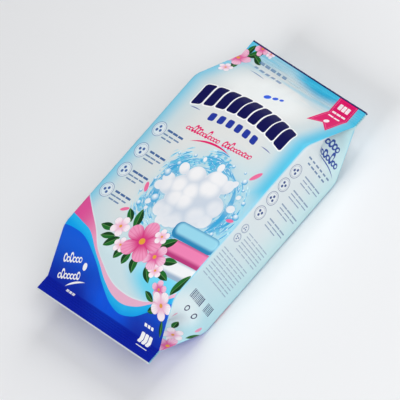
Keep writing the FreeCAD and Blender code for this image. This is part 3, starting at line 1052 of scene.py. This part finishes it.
def printed_film(name, draw, motifs, inks, top, span=(0, 360)):
    """The printed laminate of one panel, or of a band of it."""
    material, tree, shader = new_material(name)
    shader["IOR"].default_value = 1.5
    shader["Specular IOR Level"].default_value = 0.22
    panel = Print(tree, motifs, inks, top, span)
    draw(panel)
    tree.links.new(panel.colour, shader["Base Color"])
    haze = ("noise", panel.film, 1 / HAZE, 3.0)
    rough = add(tree, "range", haze, 0.3, 0.7, ROUGHNESS - 0.06, ROUGHNESS + 0.08)
    tree.links.new(rough, shader["Roughness"])
    crinkle = ("noise", panel.film, 1 / CREASE, 4.0)
    bump = add(tree, "ShaderNodeBump", 0.5, CREASE_DEPTH, None, crinkle)
    tree.links.new(bump, shader["Normal"])
    return material


# Width of the cut edge's uneven patches.
EDGE_GRAIN = MM / 0.9


def cut_film():
    """The laminate's knife-cut edge: bare white polyethylene, chalky and slightly uneven."""
    material, tree, shader = new_material("cut_polyethylene_edge")
    place = add(tree, "ShaderNodeTexCoord", out=3)
    grain = ("ShaderNodeTexNoise", place, 1 / EDGE_GRAIN, 2.0)
    tree.links.new(add(tree, "mix", grain, "#DDE1E3", "#EEF1F2"), shader["Base Color"])
    shader["Roughness"].default_value = 0.5
    return material


def film_materials(inks, top):
    """The pack's materials in the order of its slots, for a film of some millimetres."""
    motifs = {draw.__name__: motif(draw) for draw in MOTIFS}
    shared = (motifs, inks, top)
    fronts = [
        printed_film("polyester_laminate_front_%d" % number, front_print, *shared, span)
        for number, span in enumerate(zip(BANDS, BANDS[1:]))
    ]
    side = printed_film("polyester_laminate_side", side_print, *shared)
    back = printed_film("polyester_laminate_back", back_print, *shared)
    return [*fronts, side, back, cut_film()]


# The crimped ribs: one profile line of the fin, repeated up the fin by Geometry Nodes.

RIB_SIDES = 6
# Plain film left at both edges of a fin, and the columns left free beside its creases.
RIB_MARGIN = 2.4 * MM
RIB_INSET = 3


def rib_tree(front_film, back_film):
    """Nodes that turn a fin's section lines into a stack of crimped ribs."""
    tree = bpy.data.node_groups.new("crimped_ribs", "GeometryNodeTree")
    inputs = {"Section": "Geometry", "Count": "Int", "Pitch": "Float", "Width": "Float",
              "Height": "Float", "Middle height": "Float", "Film at middle": "Float"}
    for name, kind in inputs.items():
        tree.interface.new_socket(name, in_out="INPUT", socket_type="NodeSocket" + kind)
    tree.interface.new_socket("Ribs", in_out="OUTPUT", socket_type="NodeSocketGeometry")
    given = list(tree.nodes.new("NodeGroupInput").outputs)
    section, count, pitch, width, height, middle, film = given[:-1]
    line = add(tree, "GeometryNodeMeshToCurve", section)
    line = add(tree, "GeometryNodeSetCurveNormal", line, mode="Z_UP")
    profile = add(tree, "GeometryNodeCurvePrimitiveCircle", RIB_SIDES, 1.0)
    flatten = ("stretch", ("vector", width, height, 1.0), (0.5, 1.0, 1.0))
    profile = add(tree, "GeometryNodeTransform", profile, None, None, flatten)
    rib = add(tree, "GeometryNodeCurveToMesh", line, profile, 1.0, True)
    step = ("vector", 0.0, pitch, 0.0)
    stations = add(tree, "GeometryNodeMeshLine", count, (0, 0, 0), step, mode="OFFSET")
    ribs = add(tree, "GeometryNodeInstanceOnPoints", stations, None, rib)
    ribs = add(tree, "GeometryNodeRealizeInstances", ribs)
    place = add(tree, "parts", add(tree, "GeometryNodeInputPosition"))
    up, depth = place.node.outputs[1:]
    on_front = add(tree, "FunctionNodeCompare", depth, middle, operation="GREATER_THAN")
    sign = add(tree, "MULTIPLY_ADD", on_front, 2.0, -1.0)
    across = ("DIVIDE", ("MULTIPLY", place, sign), MM)
    spot = add(tree, "vector", across, ("MULTIPLY_ADD", up, 1 / MM, film), 0.0)
    ribs = add(tree, "GeometryNodeStoreNamedAttribute", ribs, True, "film", spot,
               data_type="FLOAT2", domain="CORNER")
    ribs = add(tree, "GeometryNodeSetShadeSmooth", ribs, True, True)
    ribs = add(tree, "GeometryNodeSetMaterial", ribs, True, back_film)
    ribs = add(tree, "GeometryNodeSetMaterial", ribs, on_front, front_film)
    add(tree, "NodeGroupOutput", ribs)
    return tree


def crimp_ribs(name, sizes, tree, fin_row, first_rib, count, film_at_middle):
    """One fin's ribs, front and back, as an object with a plain mesh."""
    points, _, _, (left, right, right_back, left_back) = film_points(sizes)
    lines = [
        points[fin_row, first + RIB_INSET : last - RIB_INSET + 1]
        for first, last in ((left, right), (right_back, left_back))
    ]
    section = bpy.data.meshes.new(name + "_section")
    spots = np.concatenate(lines)
    spots[:, 1] = first_rib
    split = len(lines[0])
    joins = [(i, i + 1) for i in range(len(spots) - 1) if i + 1 != split]
    section.from_pydata(spots.tolist(), joins, [])
    piece = put(name, section)
    modifier = piece.modifiers.new("Crimp", "NODES")
    modifier.node_group = tree
    given = {
        "Count": count,
        "Pitch": sizes.rib_pitch,
        "Width": sizes.rib_width,
        "Height": sizes.rib_height,
        "Middle height": sizes.body_depth / 2,
        "Film at middle": film_at_middle,
    }
    for socket in tree.interface.items_tree:
        if socket.name in given:
            modifier[socket.identifier] = given[socket.name]
    ready = piece.evaluated_get(bpy.context.evaluated_depsgraph_get())
    mesh = bpy.data.meshes.new_from_object(ready)
    piece.modifiers.remove(modifier)
    piece.data = mesh
    mesh.name = name
    return piece


# The stage: a pale floor, soft lights and the camera.

# The camera's place as seen from the bag, its roll, and its aim beside the bag's middle.
VIEW_AZIMUTH = math.radians(-12.84)
VIEW_ELEVATION = math.radians(47.04)
VIEW_ROLL = math.radians(-39.3)
VIEW_SHIFT = (-1.67 * MM, 1.31 * MM)
VIEW_DISTANCE = 13.16
VIEW_HEIGHT = 0.3996
SENSOR = 36.0
FLOOR_GAP = 0.5 * MM
FLOOR_SIZE = 40.0


def build_floor():
    """A floor just under the bag, in matt emulsion paint that gives a soft shadow and no gloss."""
    half = FLOOR_SIZE / 2
    corners = [(-half, -half, -FLOOR_GAP), (half, -half, -FLOOR_GAP),
               (half, half, -FLOOR_GAP), (-half, half, -FLOOR_GAP)]
    mesh = bpy.data.meshes.new("floor")
    mesh.from_pydata(corners, [], [(0, 1, 2, 3)])
    floor = put("floor", mesh)
    paint, _, shader = new_material("matt_emulsion_paint")
    shader["Base Color"].default_value = linear("#EEEFF1")
    shader["Roughness"].default_value = 0.9
    shader["Specular IOR Level"].default_value = 0.2
    mesh.materials.append(paint)
    floor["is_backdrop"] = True


def build_lights():
    """Soft boxes round the bag and an even pale world."""
    middle = (LOW + HIGH) / 2
    for name, direction, distance, size, power in (
        ("key_softbox", Vector((0.85, 0.1, 0.8)), 2.4, 1.3, 23),
        ("head_softbox", Vector((0.0, 1.0, 0.75)), 2.4, 1.3, 28),
        ("foot_softbox", Vector((0.1, -1.0, 0.7)), 2.4, 1.3, 27),
    ):
        light = bpy.data.lights.new(name, "AREA")
        light.shape, light.size, light.energy = "SQUARE", size, power
        lamp = put(name, light)
        lamp.location = middle + direction.normalized() * distance
        lamp.rotation_euler = direction.to_track_quat("Z", "Y").to_euler()
    world = bpy.data.worlds.new("studio")
    world.use_nodes = True
    sky = world.node_tree.nodes["Background"].inputs
    sky["Color"].default_value = linear(WHITE)
    sky["Strength"].default_value = 0.2
    bpy.context.scene.world = world


def build_camera(bag_depth):
    """A long lens that looks down on the bag with the photograph's slant."""
    camera = bpy.data.cameras.new("camera")
    camera.sensor_width = SENSOR
    camera.lens = SENSOR * VIEW_DISTANCE / VIEW_HEIGHT
    camera.clip_end = 2 * FLOOR_SIZE
    eye = put("camera", camera)
    eye.matrix_world = (
        Matrix.Translation((0, 0, bag_depth / 2))
        @ Matrix.Rotation(VIEW_AZIMUTH + math.pi / 2, 4, "Z")
        @ Matrix.Rotation(math.pi / 2 - VIEW_ELEVATION, 4, "X")
        @ Matrix.Rotation(VIEW_ROLL, 4, "Z")
        @ Matrix.Translation((*VIEW_SHIFT, VIEW_DISTANCE))
    )
    bpy.context.scene.camera = eye


class BAG_OT_film_pack(bpy.types.Operator):
    """Adds the closed film pack with its printed film."""

    bl_idname = "bag.film_pack"
    bl_label = "Film pack"

    def execute(self, context):
        sizes, inks = context.scene.bag_sizes, context.scene.bag_inks
        top = film_rows(sizes)[0][-1] / MM
        pack = film_pack(sizes, film_materials(inks, top))
        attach(pack, "root")
        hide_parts(NODE)
        return {"FINISHED"}


class BAG_OT_crimp_ribs(bpy.types.Operator):
    """Adds the crimped ribs of both fins."""

    bl_idname = "bag.crimp_ribs"
    bl_label = "Crimped ribs"

    def execute(self, context):
        sizes = context.scene.bag_sizes
        slots = bpy.data.objects["film_pack"].data.materials
        along = film_rows(sizes)[0]
        for name, row, edge, inward, fin, front in (
            ("bottom_crimp_ribs", 0, LOW.y, 1, sizes.bottom_fin, FRONT),
            ("top_crimp_ribs", -1, HIGH.y, -1, sizes.top_fin, SIDE - 1),
        ):
            tree = rib_tree(slots[front], slots[BACK])
            count = int((fin - 2 * RIB_MARGIN) / sizes.rib_pitch) + 1
            spare = fin - (count - 1) * sizes.rib_pitch
            ends = sorted((edge + inward * spare / 2, edge + inward * (fin - spare / 2)))
            film_at_middle = (along[row] - edge) / MM
            ribs = crimp_ribs(name, sizes, tree, row, ends[0], count, film_at_middle)
            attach(ribs, "root")
        return {"FINISHED"}


class BAG_OT_stage(bpy.types.Operator):
    """Adds the floor, the lights and the camera."""

    bl_idname = "bag.stage"
    bl_label = "Stage"

    def execute(self, context):
        context.scene.view_settings.view_transform = "Standard"
        build_floor()
        build_lights()
        build_camera(context.scene.bag_sizes.body_depth)
        return {"FINISHED"}


class BAG_PT_panel(bpy.types.Panel):
    """Sizes, inks and buttons of the bag."""

    bl_label = "Powder bag"
    bl_idname = "BAG_PT_panel"
    bl_space_type = "VIEW_3D"
    bl_region_type = "UI"
    bl_category = "Powder bag"

    def draw(self, context):
        column = self.layout.column()
        for operator in OPERATORS:
            column.operator(operator.bl_idname)
        for settings in (context.scene.bag_sizes, context.scene.bag_inks):
            for name in settings.__annotations__:
                column.prop(settings, name)


OPERATORS = (BAG_OT_film_pack, BAG_OT_crimp_ribs, BAG_OT_stage)
CLASSES = (PackSizes, PrintInks, *OPERATORS, BAG_PT_panel)


def register():
    """Registers the classes and hangs the settings on the scene."""
    for cls in CLASSES:
        bpy.utils.register_class(cls)
    bpy.types.Scene.bag_sizes = bpy.props.PointerProperty(type=PackSizes)
    bpy.types.Scene.bag_inks = bpy.props.PointerProperty(type=PrintInks)


def unregister():
    """Takes the settings and the classes away again."""
    del bpy.types.Scene.bag_inks, bpy.types.Scene.bag_sizes
    for cls in reversed(CLASSES):
        bpy.utils.unregister_class(cls)


def main():
    """Builds the bag and its stage, and collects the CAD and visual bounding boxes."""
    register()
    bpy.ops.bag.film_pack()
    bpy.ops.bag.crimp_ribs()
    bpy.ops.bag.stage()
    boxes = {"cad": cad_bounds, "visual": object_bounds()}
    plain = {name: [list(corner) for corner in box] for name, box in boxes.items()}


if __name__ == "__main__":
    main()
